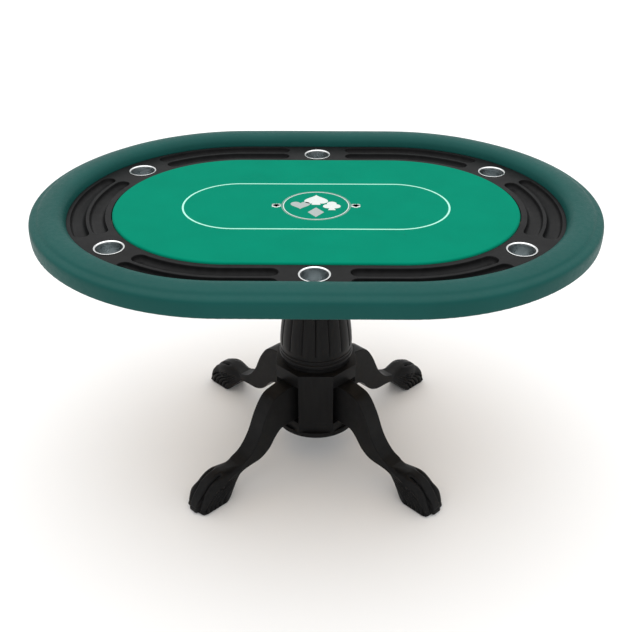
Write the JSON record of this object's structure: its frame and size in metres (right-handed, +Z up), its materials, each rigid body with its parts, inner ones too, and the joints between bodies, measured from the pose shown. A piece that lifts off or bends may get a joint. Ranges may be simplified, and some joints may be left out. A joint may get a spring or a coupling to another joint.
{
  "type": "poker table",
  "caption": "Oval card table with a padded rail, racetrack with chip troughs and drop-in steel cups, cloth playing surface and a claw-foot pedestal.",
  "frame": {"origin": "on the floor under the middle of the table", "axes": "+X along the table's length, +Y across it, +Z up"},
  "size_m": [1.4996, 1.08, 0.808],
  "materials": {
    "plywood": "sanded birch plywood",
    "racetrack_black": "satin black lacquer on board",
    "black_wood": "satin black lacquer on turned and carved wood",
    "playing_cloth": "short napped green playing cloth with a printed line and device",
    "foam": "open-cell foam",
    "rail_vinyl": "dark green vinyl with a fine leather grain",
    "cup_steel": "stainless steel, brushed inside with a polished lip",
    "zinc_steel": "zinc-plated steel",
    "glide_plastic": "black plastic"
  },
  "bodies": {
    "table": {"deck_board": "plywood", "long_battens": "plywood", "cross_battens": "plywood", "track_end_right": "racetrack_black", "track_end_left": "racetrack_black", "track_back_right": "racetrack_black", "track_back_left": "racetrack_black", "track_front_right": "racetrack_black", "track_front_left": "racetrack_black", "playing_board": "plywood", "playing_foam": "foam", "playing_cloth": "playing_cloth", "rail_base_board": "plywood", "rail_skirt_board": "plywood", "rail_foam": "foam", "rail_cover": "rail_vinyl", "top_plate": "black_wood", "column_capital": "black_wood", "column_collar": "black_wood", "column_barrel": "black_wood", "column_base_ring": "black_wood", "hub_core": "black_wood", "hub_slab": "black_wood", "bottom_disc": "black_wood", "leg_back_right": "black_wood", "leg_back_left": "black_wood", "leg_front_left": "black_wood", "leg_front_right": "black_wood", "tie_rod": "zinc_steel", "tie_rod_nuts": "zinc_steel", "tie_rod_washers": "zinc_steel", "leg_bolts": "zinc_steel", "leg_bolt_nuts": "zinc_steel", "leg_bolt_washers": "zinc_steel", "plate_bolts": "zinc_steel", "rail_bolts": "zinc_steel", "rail_tee_nuts": "zinc_steel", "track_screws": "zinc_steel", "board_screws": "zinc_steel", "batten_screws": "zinc_steel", "disc_screws": "zinc_steel", "foot_glides": "glide_plastic"},
    "cup_front_left": {"cup_front_left": "cup_steel"},
    "cup_front_middle": {"cup_front_middle": "cup_steel"},
    "cup_front_right": {"cup_front_right": "cup_steel"},
    "cup_back_left": {"cup_back_left": "cup_steel"},
    "cup_back_middle": {"cup_back_middle": "cup_steel"},
    "cup_back_right": {"cup_back_right": "cup_steel"}
  },
  "joints": [
    {"name": "cup_front_left_lift", "type": "slide", "parent": "table", "child": "cup_front_left", "axis": [0, 0, 1], "range_m": [0, 0.09]},
    {"name": "cup_front_middle_lift", "type": "slide", "parent": "table", "child": "cup_front_middle", "axis": [0, 0, 1], "range_m": [0, 0.09]},
    {"name": "cup_front_right_lift", "type": "slide", "parent": "table", "child": "cup_front_right", "axis": [0, 0, 1], "range_m": [0, 0.09]},
    {"name": "cup_back_left_lift", "type": "slide", "parent": "table", "child": "cup_back_left", "axis": [0, 0, 1], "range_m": [0, 0.09]},
    {"name": "cup_back_middle_lift", "type": "slide", "parent": "table", "child": "cup_back_middle", "axis": [0, 0, 1], "range_m": [0, 0.09]},
    {"name": "cup_back_right_lift", "type": "slide", "parent": "table", "child": "cup_back_right", "axis": [0, 0, 1], "range_m": [0, 0.09]}
  ]
}
